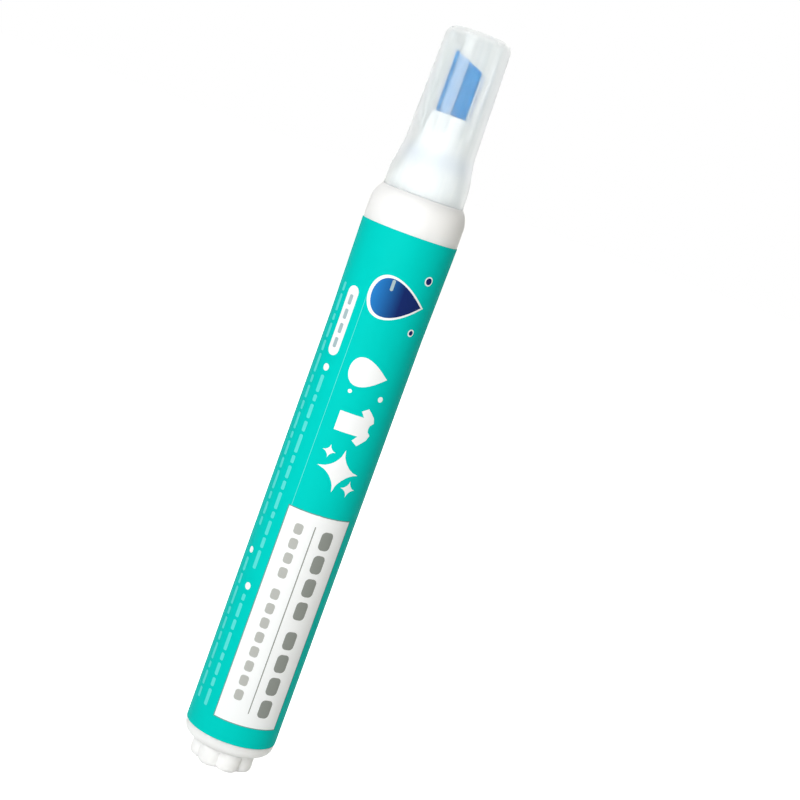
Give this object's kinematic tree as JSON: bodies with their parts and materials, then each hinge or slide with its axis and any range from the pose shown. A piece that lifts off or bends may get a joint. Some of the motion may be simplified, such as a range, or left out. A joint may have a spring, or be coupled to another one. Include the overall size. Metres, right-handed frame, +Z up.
{
  "type": "stain remover pen",
  "caption": "Round liquid pen with a push-on see-through cap, a pressable chisel felt nib on a sprung valve, a wrapped label and a lobed tail plug.",
  "frame": {"origin": "centre of the flat end of the tail stub, the point that the pen stands on", "axes": "+Z up along the pen, from the tail to the cap; -Y is the front, which the nib's broad face and the label's panel face; +X is to the right of the front"},
  "size_m": [0.0174, 0.0174, 0.1373],
  "materials": {
    "white_plastic": "satin moulded",
    "section_plastic": "satin moulded",
    "label_film": "printed film",
    "blue_felt": "pressed felt",
    "natural_plastic": "natural, unpigmented",
    "black_rubber": "matte",
    "spring_steel": "drawn wire",
    "frosted_cap": "frosted, see-through"
  },
  "bodies": {
    "barrel_body": {"barrel": "white_plastic", "label": "label_film", "tail_plug": "white_plastic", "front_section": "section_plastic", "valve_body": "natural_plastic", "valve_spring": "spring_steel", "spring_retainer": "natural_plastic"},
    "nib_unit": {"nib": "blue_felt", "valve_plunger": "natural_plastic", "valve_seal": "black_rubber"},
    "cap_body": {"cap": "frosted_cap"}
  },
  "joints": [
    {"name": "cap_pull", "type": "slide", "parent": "barrel_body", "child": "cap_body", "axis": [0, 0, 1], "range_m": [0, 0.035]},
    {"name": "nib_press", "type": "slide", "parent": "barrel_body", "child": "nib_unit", "axis": [0, 0, -1], "range_m": [0, 0.002], "stiffness_N_per_m": 400, "springref_m": -0.003, "deforming": ["valve_spring"]}
  ]
}
